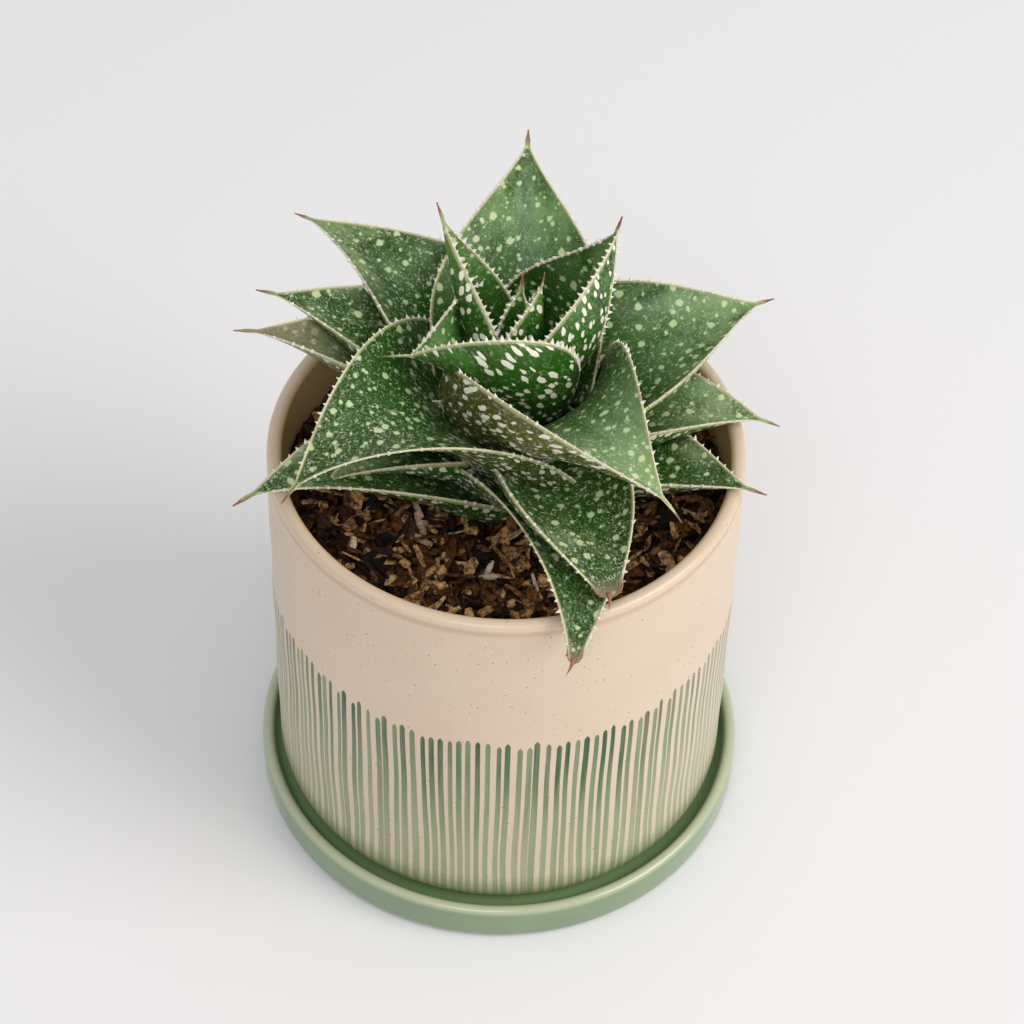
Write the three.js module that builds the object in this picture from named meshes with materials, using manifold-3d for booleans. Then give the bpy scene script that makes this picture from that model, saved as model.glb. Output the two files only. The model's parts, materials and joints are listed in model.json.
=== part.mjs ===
// Potted haworthia: a rosette of channelled, white-toothed succulent leaves on a short stem,
// growing in bark soil in a straight stoneware pot that stands in a glazed saucer.
// Millimetres, +Z up. The origin is the centre of the saucer's flat underside.
import * as THREE from 'three';
import { mergeVertices } from 'three/addons/utils/BufferGeometryUtils.js';
import Module from 'manifold-3d';

const wasm = await Module();
wasm.setup();

// Driving dimensions
const POT_RADIUS = 55;
const POT_WALL = 3.5;
const POT_FLOOR = 4.7;
const RIM_HEIGHT = 112;
const RIM_ROUND = 1.5;
const POT_FOOT_ROUND = 6.5;
const POT_FOOT_INSET = 4.4;
const POT_INSIDE_ROUND = 4;
const DRAIN_RADIUS = 6;
const SAUCER_RADIUS = 59.4;
const SAUCER_FLOOR = 7;
const SAUCER_RIM = 10.6;
const SAUCER_EDGE = 1.5;
const SAUCER_FOOT_ROUND = 2.4;
const SAUCER_COVE = 1.8;
const SOIL_BELOW_RIM = 14;
const SOIL_FOOT_ROUND = 4.6;
const SOIL_RINGS = 8;
const SOIL_STEPS = 36;
const CHIP_RELIEF = 0.9;
const ROSETTE = [1, 8];
const STEM_FOOT = 84;
const STEM_FOOT_RADIUS = 7.5;
const STEM_RADIUS = 9.2;
const STEM_NECK = [[0, STEM_RADIUS], [14, STEM_RADIUS], [21, 5.5], [28, 4.6]];
const STEM_CROWN = [32.5, 3.2];
const STEM_SIDES = 18;
const TURNED_SIDES = 52;
const GAP = 0.3;
const TOOTH = 0.8;
const ROW_STEP = 2.3;
const CUTTER_STEP = 4.6;
const CUTTER_BEND = 7.5;
const CUTTER_GROWTH = 0.42;
const CLEANED = 0.08;
const WELD = 1e-3;

const POT_BASE = SAUCER_FLOOR + GAP;
const POT_INSIDE = POT_RADIUS - POT_WALL;
const SOIL_TOP = RIM_HEIGHT - SOIL_BELOW_RIM;
const SOIL_BASE = POT_BASE + POT_FLOOR + GAP;
const SOIL_RADIUS = POT_INSIDE - GAP;

const rad = THREE.MathUtils.degToRad;

// Leaves from the heart of the rosette outwards. Angles in degrees, lengths in mm.
// heading, turn: compass direction of the leaf at its seat, and how far it swings by the tip
// rise, droop: slope at the seat, and how much of it is lost by the tip
// seat: distance from the stem's axis, and height; cup: curl of each half at the seat and at the tip
// lean: how much more the left half curls; roll, twist: turn about the midrib at the seat, and its change
// full: where the leaf reaches its full width, from the tip; waist: how much it narrows again by the seat
// blunt: how much of the point is missing; spine: length of the bare spine at the tip
const LEAVES = [
  { heading: 75, rise: 72, droop: 10, length: 20, width: 9, seat: [1, 133], thick: 2.5 },
  { heading: 42, rise: 70, droop: 10, length: 24, width: 16, seat: [2, 130], thick: 2.5, roll: -60 },
  { heading: 138, rise: 60, droop: 8, length: 44, width: 20, seat: [4.5, 124], cup: [95, 80], thick: 3,
    roll: 16, lean: 0.3 },
  { heading: 30, turn: 20, rise: 60, droop: 10, length: 44, width: 43, seat: [9.5, 121], cup: [95, 88],
    thick: 3, roll: -22 },
  { heading: 225, turn: -62, rise: 84, droop: -111, length: 42, width: 49, seat: [4.5, 118], cup: [110, 85],
    thick: 4, roll: 5, twist: 28, full: 0.6, waist: 0.2, spine: 7 },
  { heading: 290, turn: 49, rise: 81, droop: -138, length: 71, width: 57, seat: [9, 106], cup: [110, 40],
    roll: -3, lean: -0.28, spine: 6 },
  { heading: 88, rise: 40, droop: 6, length: 63, width: 44, seat: [6, 111], cup: [70, 15], full: 0.7,
    spine: 2.4 },
  { heading: 222, rise: 76, droop: -118, length: 77, width: 66, seat: [9, 103], cup: [60, 20],
    roll: -9, twist: 9, full: 1, waist: 0.1 },
  { heading: 134, turn: 26, rise: 44, droop: -40, length: 63, width: 50, seat: [9, 112], cup: [80, 15],
    roll: 4, twist: 4, full: 1, spine: 2.4 },
  { heading: 22, rise: 38, droop: -36, length: 62, width: 46, seat: [8, 106], roll: 6, full: 0.7 },
  { heading: 294, turn: -7, rise: 32, droop: -50, length: 57, width: 31.5, seat: [8, 107.5], full: 0.6,
    blunt: 0.12 },
  { heading: 166, rise: 46, droop: -48, length: 59, width: 32, seat: [9, 112] },
  { heading: 2, turn: -6, rise: 36, droop: -60, length: 56, width: 34, seat: [9, 103] },
  { heading: 210, rise: 40, droop: -60, length: 46, width: 30, seat: [9, 103], full: 1 },
  { heading: 176, rise: 44, droop: -50, length: 61, width: 28, seat: [9, 111] },
  { heading: 206, rise: 45, droop: -68, length: 66, width: 40, seat: [9, 96], roll: -20, full: 1 },
  { heading: 296, turn: -36, rise: 40, droop: -70, length: 70, width: 53, seat: [9, 99], cup: [60, 20],
    roll: -5, full: 1.3, blunt: 0.1 },
  { heading: 338, rise: 24, droop: -26, length: 55, width: 31, seat: [9, 102] },
  { heading: 114, rise: 30, droop: -22, length: 48, width: 30, seat: [9, 101] },
  { heading: 62, rise: 16, droop: -12, length: 34, width: 26, seat: [9, 100] },
  { heading: 88, rise: 36, droop: -26, length: 56, width: 30, seat: [9, 101] },
  { heading: 328, rise: 15, droop: -20, length: 26, width: 18, seat: [9, 100] },
];
const LEAF_DEFAULTS = {
  turn: 0, roll: 0, twist: 0, lean: 0, cup: [80, 35], full: 0.75, waist: 0, blunt: 0, thick: 6, spine: 3.2,
};
const KEEL_AT = -0.25;
const KEEL_HEIGHT = 1.6;
const KEEL_HALF = 0.3;
const BEND = 1.3;
const SLICES = 200;

// A point of the section: how far across it lies, and on which face.
const UPPER = [-1, -0.55, 0, 0.55, 1];
const LOWER = [-1, -0.62, KEEL_AT, 0.45, 1];

const materials = {
  pot: new THREE.MeshStandardMaterial({ color: '#d8c3aa', roughness: 0.45, metalness: 0 }),
  saucer: new THREE.MeshStandardMaterial({ color: '#8ea381', roughness: 0.2, metalness: 0 }),
  soil: new THREE.MeshStandardMaterial({ color: '#4b3424', roughness: 0.95, metalness: 0 }),
  stem: new THREE.MeshStandardMaterial({ color: '#6d7546', roughness: 0.7, metalness: 0 }),
  leaf: new THREE.MeshStandardMaterial({ color: '#3c6536', roughness: 0.4, metalness: 0 }),
};

function arc(centreR, centreZ, radius, from, to, steps) {
  return Array.from({ length: steps + 1 }, (_, i) => {
    const angle = rad(from + ((to - from) * i) / steps);
    return new THREE.Vector2(centreR + radius * Math.cos(angle), centreZ + radius * Math.sin(angle));
  });
}

function turned(points, segments) {
  const geometry = new THREE.LatheGeometry(points, segments);
  geometry.rotateX(Math.PI / 2);
  geometry.deleteAttribute('uv');
  geometry.deleteAttribute('normal');
  return mergeVertices(geometry, 1e-4);
}

function toSolid(geometry) {
  const vertProperties = new Float32Array(geometry.getAttribute('position').array);
  const triVerts = new Uint32Array(geometry.getIndex().array);
  return new wasm.Manifold(new wasm.Mesh({ numProp: 3, vertProperties, triVerts }));
}

function toGeometry(solid) {
  const mesh = solid.getMesh();
  const geometry = new THREE.BufferGeometry();
  geometry.setAttribute('position', new THREE.BufferAttribute(new Float32Array(mesh.vertProperties), 3));
  geometry.setIndex(new THREE.BufferAttribute(new Uint32Array(mesh.triVerts), 1));
  return geometry;
}

function named(name, geometry, material) {
  geometry.computeVertexNormals();
  const mesh = new THREE.Mesh(geometry, material);
  mesh.name = name;
  return mesh;
}

// Saucer: one thick glazed dish with a rolled rim and a flat underside.
function saucerProfile() {
  const edge = SAUCER_RADIUS - SAUCER_EDGE;
  return [
    new THREE.Vector2(0, 0),
    ...arc(SAUCER_RADIUS - SAUCER_FOOT_ROUND, SAUCER_FOOT_ROUND, SAUCER_FOOT_ROUND, -90, 0, 3),
    ...arc(edge, SAUCER_RIM - SAUCER_EDGE, SAUCER_EDGE, 0, 180, 6),
    new THREE.Vector2(edge - SAUCER_EDGE - SAUCER_COVE, SAUCER_FLOOR),
    new THREE.Vector2(0, SAUCER_FLOOR),
  ];
}

// Pot: a straight stoneware cylinder with a rounded lip, a rounded foot and a drain hole.
function potProfile() {
  const lip = RIM_HEIGHT - RIM_ROUND;
  const footRadius = POT_RADIUS - POT_FOOT_INSET;
  return [
    new THREE.Vector2(DRAIN_RADIUS, POT_BASE),
    new THREE.Vector2(footRadius, POT_BASE),
    new THREE.Vector2(footRadius + 0.6 * POT_FOOT_INSET, POT_BASE + 0.3 * POT_FOOT_ROUND),
    new THREE.Vector2(footRadius + 0.86 * POT_FOOT_INSET, POT_BASE + 0.62 * POT_FOOT_ROUND),
    new THREE.Vector2(POT_RADIUS, POT_BASE + POT_FOOT_ROUND),
    ...arc(POT_RADIUS - RIM_ROUND, lip, RIM_ROUND, 0, 90, 3),
    ...arc(POT_INSIDE + RIM_ROUND, lip, RIM_ROUND, 90, 180, 3),
    ...arc(
      POT_INSIDE - POT_INSIDE_ROUND, POT_BASE + POT_FLOOR + POT_INSIDE_ROUND, POT_INSIDE_ROUND, 0, -90, 2,
    ),
    new THREE.Vector2(DRAIN_RADIUS, POT_BASE + POT_FLOOR),
    new THREE.Vector2(DRAIN_RADIUS, POT_BASE),
  ];
}

// Stem: short and stout, buried at its foot and tapering into the heart of the rosette.
function stemGeometry(grow) {
  const profile = [
    [0, STEM_FOOT - grow],
    [STEM_FOOT_RADIUS + grow, STEM_FOOT - grow],
    ...STEM_NECK.map(([height, radius]) => [radius + grow, SOIL_TOP + height]),
    [STEM_CROWN[1] + grow, SOIL_TOP + STEM_CROWN[0] + grow],
    [0, SOIL_TOP + STEM_CROWN[0] + 1 + grow],
  ];
  const geometry = turned(profile.map(([r, z]) => new THREE.Vector2(r, z)), STEM_SIDES);
  geometry.translate(ROSETTE[0], ROSETTE[1], 0);
  return geometry;
}

// Bark chips: each corner of the surface is lifted or lowered by a repeatable pseudo-random share.
function chipHeight(ring, step) {
  const mixed = Math.sin(ring * 12.9898 + step * 78.233) * 43758.5453;
  return (mixed - Math.floor(mixed) - 0.5) * 2 * CHIP_RELIEF;
}

// Soil: fills the pot, with a relief of bark chips on top.
function soilGeometry() {
  const positions = [];
  const triangles = [];
  const ringAt = [];
  const addRing = (radius, heightOf) => {
    ringAt.push(positions.length / 3);
    for (let step = 0; step < SOIL_STEPS; step += 1) {
      const angle = (2 * Math.PI * (step + 0.5 * (ringAt.length % 2))) / SOIL_STEPS;
      positions.push(radius * Math.cos(angle), radius * Math.sin(angle), heightOf(step));
    }
  };
  positions.push(0, 0, SOIL_BASE);
  addRing(SOIL_RADIUS - SOIL_FOOT_ROUND, () => SOIL_BASE);
  addRing(SOIL_RADIUS, () => SOIL_BASE + SOIL_FOOT_ROUND);
  for (let ring = SOIL_RINGS; ring > 0; ring -= 1) {
    addRing((SOIL_RADIUS * ring) / SOIL_RINGS, (step) => SOIL_TOP + chipHeight(ring, step));
  }
  const top = positions.length / 3;
  positions.push(0, 0, SOIL_TOP);
  for (let step = 0; step < SOIL_STEPS; step += 1) {
    const next = (step + 1) % SOIL_STEPS;
    triangles.push(0, ringAt[0] + next, ringAt[0] + step);
    triangles.push(top, ringAt[ringAt.length - 1] + step, ringAt[ringAt.length - 1] + next);
    for (let ring = 0; ring + 1 < ringAt.length; ring += 1) {
      const a = ringAt[ring] + step;
      const b = ringAt[ring] + next;
      const c = ringAt[ring + 1] + step;
      const d = ringAt[ring + 1] + next;
      if (ring % 2 === 0) triangles.push(a, b, c, b, d, c);
      else triangles.push(a, d, c, a, b, d);
    }
  }
  const geometry = new THREE.BufferGeometry();
  geometry.setAttribute('position', new THREE.Float32BufferAttribute(positions, 3));
  geometry.setIndex(triangles);
  return geometry;
}

// The space that no leaf enters: everything below the highest chips.
function buriedSpace() {
  const top = SOIL_TOP + CHIP_RELIEF + GAP;
  const outline = [[0, SOIL_BASE], [SOIL_RADIUS, SOIL_BASE], [SOIL_RADIUS, top], [0, top]];
  return turned(outline.map(([r, z]) => new THREE.Vector2(r, z)), 24);
}

// The midrib of a leaf, walked in small steps, with its frame at each.
function midrib(leaf) {
  const places = [];
  const heading = rad(leaf.heading);
  const point = new THREE.Vector3(
    ROSETTE[0] + leaf.seat[0] * Math.cos(heading),
    ROSETTE[1] + leaf.seat[0] * Math.sin(heading),
    leaf.seat[1],
  );
  let before = null;
  for (let i = 0; i < SLICES; i += 1) {
    const t = i / (SLICES - 1);
    const share = t ** BEND;
    const azimuth = rad(leaf.heading + leaf.turn * share);
    const slope = rad(leaf.rise + leaf.droop * share);
    const along = new THREE.Vector3(
      Math.cos(slope) * Math.cos(azimuth),
      Math.cos(slope) * Math.sin(azimuth),
      Math.sin(slope),
    );
    if (before) point.addScaledVector(before.clone().add(along), leaf.length / (SLICES - 1) / 2);
    before = along;
    const level = new THREE.Vector3(-Math.sin(azimuth), Math.cos(azimuth), 0);
    const upright = along.clone().cross(level);
    const roll = rad(leaf.roll + leaf.twist * share);
    const side = level.clone().multiplyScalar(Math.cos(roll)).addScaledVector(upright, Math.sin(roll));
    const normal = upright.clone().multiplyScalar(Math.cos(roll)).addScaledVector(level, -Math.sin(roll));
    places.push({ t, point: point.clone(), along, side, normal });
  }
  return places;
}

// Half-width along the leaf: broad at the seat, drawn out to a point that ends in a spine.
function halfWidth(leaf, t) {
  const toTip = (1 - t) * leaf.length;
  const pointed = THREE.MathUtils.clamp((toTip - leaf.spine) / (leaf.length - leaf.spine), 0, 1);
  const x = leaf.blunt + (1 - leaf.blunt) * pointed;
  const narrowed = 1 - leaf.waist * Math.max(0, 2 * x - 1) ** 1.5;
  const blade = (leaf.width / 2) * Math.sin((Math.PI / 2) * Math.min(x / leaf.full, 1)) ** 1.3 * narrowed;
  const thorn = 0.12 + 0.5 * Math.min(toTip / leaf.spine, 1);
  return { half: Math.max(blade, thorn), onBlade: blade > thorn };
}

function thickness(leaf, t, half, u) {
  const share = half / (leaf.width / 2);
  const body = leaf.thick * Math.min(1, share) * (1 - 0.35 * t) * (1 - u * u) ** 0.8;
  const keel = KEEL_HEIGHT * share * Math.max(0, 1 - Math.abs(u - KEEL_AT) / KEEL_HALF) * Math.min(1, 3 * t);
  return Math.min(0.5 * Math.min(1, 0.3 + share) + body + keel, 1.6 * half);
}

// How many rings a cutter needs: no further apart than its step, and enough for the bends.
function cutterRows(leaf) {
  const bend = Math.abs(leaf.droop) + Math.abs(leaf.turn);
  return Math.round(Math.max(leaf.length / CUTTER_STEP, bend / CUTTER_BEND));
}

// One leaf as a closed mesh of ringed sections. With no growth its margins are drawn
// out into teeth on every second ring. grow swells it all round, margins blunted, to cut a
// neighbour clear of it.
function leafGeometry(leaf, rows, grow) {
  const places = midrib(leaf);
  const positions = [];
  const triangles = [];
  const columns = UPPER.length;
  const sharp = grow === 0;
  const ringSize = sharp ? 2 * columns - 2 : 2 * columns;
  for (let row = 0; row < rows; row += 1) {
    const place = places[Math.round((row * (SLICES - 1)) / (rows - 1))];
    const { half, onBlade } = halfWidth(leaf, place.t);
    const curl = rad(leaf.cup[0] + (leaf.cup[1] - leaf.cup[0]) * place.t ** 0.7);
    const toothed = row % 2 === 1 && onBlade && row < rows - 2;
    const reach = sharp ? toothed * Math.min(TOOTH, 0.5 * half) : TOOTH + grow;
    const shift = grow * ((row === rows - 1) - (row === 0));
    const put = (u, lower) => {
      const bend = Math.max(curl * (1 + leaf.lean * Math.sign(u)), 1e-3);
      const angle = bend * u;
      const across = new THREE.Vector3()
        .addScaledVector(place.side, (Math.sin(angle) / bend) * half)
        .addScaledVector(place.normal, ((1 - Math.cos(angle)) / bend) * half);
      const out = new THREE.Vector3()
        .addScaledVector(place.side, -Math.sin(angle))
        .addScaledVector(place.normal, Math.cos(angle));
      const point = place.point.clone().add(across).addScaledVector(place.along, shift);
      const margin = Math.abs(u) === 1;
      if (margin) {
        point.addScaledVector(place.side, Math.cos(angle) * u * reach);
        point.addScaledVector(place.normal, Math.sin(angle) * u * reach);
      }
      const below = margin && sharp ? 0.25 * Math.min(1, half) : -grow;
      point.addScaledVector(out, lower ? -thickness(leaf, place.t, half, u) - grow : -below);
      positions.push(point.x, point.y, point.z);
    };
    UPPER.forEach((u) => put(u, false));
    LOWER.filter((u) => !sharp || Math.abs(u) < 1).reverse().forEach((u) => put(u, true));
  }
  for (let row = 0; row + 1 < rows; row += 1) {
    for (let k = 0; k < ringSize; k += 1) {
      const a = row * ringSize + k;
      const b = row * ringSize + ((k + 1) % ringSize);
      const c = a + ringSize;
      const d = b + ringSize;
      triangles.push(a, c, b, b, c, d);
    }
  }
  const closeEnd = (start, flip) => {
    const lowerPoint = (k) => start + ((ringSize - k - (sharp ? 0 : 1)) % ringSize);
    for (let k = 0; k + 1 < columns; k += 1) {
      const upperA = start + k;
      const upperB = start + k + 1;
      const lowerA = lowerPoint(k);
      const lowerB = lowerPoint(k + 1);
      const faces = [];
      if (lowerB !== upperB) faces.push([upperB, upperA, lowerB]);
      if (lowerA !== upperA) faces.push([upperA, lowerA, lowerB]);
      faces.forEach(([p, q, r]) => triangles.push(...(flip ? [p, r, q] : [p, q, r])));
    }
  };
  closeEnd(0, true);
  closeEnd((rows - 1) * ringSize, false);
  const geometry = new THREE.BufferGeometry();
  geometry.setAttribute('position', new THREE.Float32BufferAttribute(positions, 3));
  geometry.setIndex(triangles);
  return geometry;
}

// What is left of a leaf after its cuts: slivers cleaned off, loose scraps dropped.
function largestPiece(solid) {
  const welded = mergeVertices(toGeometry(solid.simplify(CLEANED)), WELD);
  const pieces = toSolid(welded).decompose();
  return pieces.reduce((best, piece) => (piece.volume() > best.volume() ? piece : best), pieces[0]);
}

const plant = new THREE.Group();
const soil = toSolid(soilGeometry()).subtract(toSolid(stemGeometry(GAP)));

plant.add(named('saucer', turned(saucerProfile(), TURNED_SIDES), materials.saucer));
plant.add(named('pot', turned(potProfile(), TURNED_SIDES), materials.pot));
plant.add(named('soil', toGeometry(soil), materials.soil));
plant.add(named('stem', stemGeometry(0), materials.stem));

// Each leaf gives way to the stem, to the soil and to the leaves nearer the heart.
let taken = toSolid(stemGeometry(GAP)).add(toSolid(buriedSpace()));
LEAVES.forEach((row, index) => {
  const leaf = { ...LEAF_DEFAULTS, ...row };
  const rows = Math.round(leaf.length / ROW_STEP);
  const solid = largestPiece(toSolid(leafGeometry(leaf, rows, 0)).subtract(taken));
  taken = taken.add(toSolid(leafGeometry(leaf, cutterRows(leaf), CUTTER_GROWTH)));
  plant.add(named(`leaf_${String(index + 1).padStart(2, '0')}`, toGeometry(solid), materials.leaf));
});

export default plant;
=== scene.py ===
# Potted haworthia: a rosette of channelled, white-toothed leaves in bark soil, in a straight
# stoneware pot brushed with green stripes, standing in a celadon saucer.
import json
import math

import bpy
import numpy as np
from mathutils import Matrix, Vector
from mathutils.bvhtree import BVHTree

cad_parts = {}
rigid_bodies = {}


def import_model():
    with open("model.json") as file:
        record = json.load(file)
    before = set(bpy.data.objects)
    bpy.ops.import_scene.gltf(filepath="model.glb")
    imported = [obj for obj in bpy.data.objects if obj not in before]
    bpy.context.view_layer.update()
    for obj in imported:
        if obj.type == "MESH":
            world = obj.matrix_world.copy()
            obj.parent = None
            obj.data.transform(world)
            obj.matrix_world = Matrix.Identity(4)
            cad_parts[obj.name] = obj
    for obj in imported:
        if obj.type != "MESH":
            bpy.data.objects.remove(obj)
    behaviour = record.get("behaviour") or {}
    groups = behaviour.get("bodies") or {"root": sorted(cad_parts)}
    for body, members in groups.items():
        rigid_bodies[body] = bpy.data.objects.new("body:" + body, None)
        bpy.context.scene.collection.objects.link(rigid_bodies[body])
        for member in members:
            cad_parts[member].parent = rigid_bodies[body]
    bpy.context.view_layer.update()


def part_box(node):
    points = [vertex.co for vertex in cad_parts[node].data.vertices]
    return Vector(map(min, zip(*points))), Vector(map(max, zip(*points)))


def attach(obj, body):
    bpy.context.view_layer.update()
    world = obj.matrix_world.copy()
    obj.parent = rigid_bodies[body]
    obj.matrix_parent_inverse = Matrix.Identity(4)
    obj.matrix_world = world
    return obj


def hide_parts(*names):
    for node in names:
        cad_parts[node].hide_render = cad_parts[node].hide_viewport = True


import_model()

# Saucer
# One thick dish with a rolled rim, dipped in a celadon glaze. Its tray is painted a lighter green,
# painted light in the shade between pot and rim, and a painted highlight runs pale along the crest.
MM = 0.001
saucer_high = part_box("saucer")[1]
SAUCER_RADIUS = saucer_high[0]
SAUCER_RIM = saucer_high[2]
SAUCER_FOOT = 52 * MM
FOOT_CURVE = 2.4 * MM
RIM_ROUND = 1.5 * MM
TRAY_FLOOR = 7 * MM

# Radii and heights over which the tray is painted lighter and the crest of the rim painted as a highlight
TRAY_LIGHT_EDGE = (56.2 * MM, 54.5 * MM)
CREST_RADIUS = (55.6 * MM, 57.2 * MM)
CREST_HEIGHT = (8.8 * MM, 10.4 * MM)

# The settings of a Map Range node that eases in and out, and of a Mix node that blends colours
EASED = {"interpolation_type": "SMOOTHSTEP"}
COLOURS = {"data_type": "RGBA"}


def linear(code):
    """The linear colour behind an sRGB hex code."""
    shares = [int(code[i:i + 2], 16) / 255 for i in (1, 3, 5)]
    return [s / 12.92 if s <= 0.04045 else ((s + 0.055) / 1.055) ** 2.4 for s in shares] + [1.0]


def feed(tree, made, inputs):
    """Links or sets a node's inputs. A node stands for its first live output, and a hex code for
    its colour."""
    pairs = inputs.items() if isinstance(inputs, dict) else enumerate(inputs)
    for name, value in pairs:
        if isinstance(value, bpy.types.Node):
            value = next(socket for socket in value.outputs if socket.enabled)
        if isinstance(value, bpy.types.NodeSocket):
            tree.links.new(value, made.inputs[name])
        elif isinstance(value, str) and value.startswith("#"):
            made.inputs[name].default_value = linear(value)
        else:
            made.inputs[name].default_value = value


def add(tree, kind, inputs=(), **settings):
    """A node of this kind, with its settings made and its inputs linked or set."""
    made = tree.nodes.new(kind)
    for name, value in settings.items():
        setattr(made, name, value)
    feed(tree, made, inputs)
    return made


def start_material(name, shader_values):
    """An empty material with its shader, and the tree that colours it."""
    material = bpy.data.materials.new(name)
    material.use_nodes = True
    tree = material.node_tree
    tree.nodes.clear()
    shader = add(tree, "ShaderNodeBsdfPrincipled", shader_values)
    add(tree, "ShaderNodeOutputMaterial", {"Surface": shader})
    return material, tree, shader


def coated(tree, ground, *coats):
    """A ground colour with coats over it, each given as where it lies, its colour and, for a thin
    coat, how much of it shows."""
    for share, colour, *thin in coats:
        if thin:
            share = add(tree, "ShaderNodeMath", (share, thin[0]), operation="MULTIPLY")
        ground = add(tree, "ShaderNodeMix", {0: share, 6: ground, 7: colour}, **COLOURS)
    return ground


def position(tree):
    """Object coordinates, in metres, and their three parts."""
    where = add(tree, "ShaderNodeTexCoord").outputs["Object"]
    parts = add(tree, "ShaderNodeSeparateXYZ", {0: where}).outputs
    return where, parts[0], parts[1], parts[2]


# Celadon: a glossy iron glaze over pale clay
def celadon_glaze():
    material, tree, shader = start_material(
        "celadon glaze", {"Roughness": 0.16, "Coat Weight": 0.35, "Coat Roughness": 0.08, "IOR": 1.5})
    where, x, y, height = position(tree)
    flat = add(tree, "ShaderNodeCombineXYZ", (x, y))
    radius = add(tree, "ShaderNodeVectorMath", (flat,), operation="LENGTH")
    tray_painted_light = add(tree, "ShaderNodeMapRange", (radius, *TRAY_LIGHT_EDGE), **EASED)
    high = add(tree, "ShaderNodeMapRange", (height, *CREST_HEIGHT), **EASED)
    outer = add(tree, "ShaderNodeMapRange", (radius, *CREST_RADIUS), **EASED)
    crest_highlight = add(tree, "ShaderNodeMath", (high, outer), operation="MULTIPLY")

    # the glaze drifts between two greens in clouds of about 17 mm
    drift = add(tree, "ShaderNodeTexNoise", {"Vector": where, "Scale": 60.0, "Detail": 3.0})
    # painted light: the tray a lighter green in its shade, and the crest a pale painted highlight
    body = coated(tree, "#728a68", (drift, "#8ba07e"), (crest_highlight, "#b8bf9f"), (tray_painted_light, "#7f9d6c"))
    feed(tree, shader, {"Base Color": body})
    return material


def mesh_object(name, points, faces, material=None, smooth=False, edges=()):
    """An object in the scene with this mesh."""
    mesh = bpy.data.meshes.new(name)
    mesh.from_pydata(points, edges, faces)
    if material:
        mesh.materials.append(material)
    if smooth:
        mesh.shade_smooth()
    made = bpy.data.objects.new(name, mesh)
    bpy.context.scene.collection.objects.link(made)
    return made


def arc(centre_r, centre_z, radius, start, end, steps):
    """Points of a round stretch of a profile, in degrees."""
    angles = [math.radians(start + (end - start) * i / steps) for i in range(steps + 1)]
    return [(centre_r + radius * math.cos(a), centre_z + radius * math.sin(a)) for a in angles]


def lathe(name, profile, segments, material, wobble=None):
    """A turned solid from a closed profile of (radius, height), which starts and ends on the axis
    or comes back to where it began."""
    on_axis = profile[0][0] == 0
    ring = profile[1:-1] if on_axis else profile[:-1]
    count = len(ring)
    points = []
    for i in range(segments):
        angle = 2 * math.pi * i / segments
        for radius, height in ring:
            r = radius + (wobble(angle, radius, height) if wobble else 0.0)
            points.append((r * math.cos(angle), r * math.sin(angle), height))
    faces = []
    for i in range(segments):
        here = i * count
        there = ((i + 1) % segments) * count
        for k in range(count if not on_axis else count - 1):
            after = (k + 1) % count
            faces.append((here + k, there + k, there + after, here + after))
    if on_axis:
        points += [(0.0, 0.0, profile[0][1]), (0.0, 0.0, profile[-1][1])]
        bottom = segments * count
        for i in range(segments):
            here = i * count
            there = ((i + 1) % segments) * count
            faces.append((bottom, there, here))
            faces.append((bottom + 1, here + count - 1, there + count - 1))
    return mesh_object(name, points, faces, material, smooth=True)


def saucer_profile():
    rim = SAUCER_RADIUS - RIM_ROUND
    tray = rim - RIM_ROUND
    return [
        (0.0, 0.0), (SAUCER_FOOT, 0.0),
        *arc(SAUCER_RADIUS - FOOT_CURVE, FOOT_CURVE, FOOT_CURVE, -90, 0, 8),
        *arc(rim, SAUCER_RIM - RIM_ROUND, RIM_ROUND, 0, 160, 12),
        (tray - 0.5 * MM, TRAY_FLOOR + 1.0 * MM), (tray - 1.4 * MM, TRAY_FLOOR + 0.25 * MM),
        (tray - 2.6 * MM, TRAY_FLOOR), (0.0, TRAY_FLOOR),
    ]


saucer = lathe("saucer", saucer_profile(), 256, celadon_glaze())
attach(saucer, "root")
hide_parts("saucer")

# Pot
# A straight stoneware cylinder, thrown, with a rounded lip and foot and a drain hole. The top is
# left in the warm satin glaze; below it, thin strokes brushed in green run down to the foot.
pot_low, pot_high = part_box("pot")
POT_RADIUS = pot_high[0]
POT_BASE = pot_low[2]
RIM_HEIGHT = pot_high[2]
POT_WALL = 3.5 * MM
LIP_ROUND = 1.6 * MM
POT_FLOOR = POT_BASE + 4.7 * MM
POT_FOOT = POT_RADIUS - 4.4 * MM
DRAIN_RADIUS = 6 * MM
WALL_FROM = 45 * MM
THROWN_WAVE = 0.12 * MM
THROWN_PITCH = 4.5 * MM
STROKE_TOP = RIM_HEIGHT - 39.8 * MM
STROKES = 152


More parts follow.
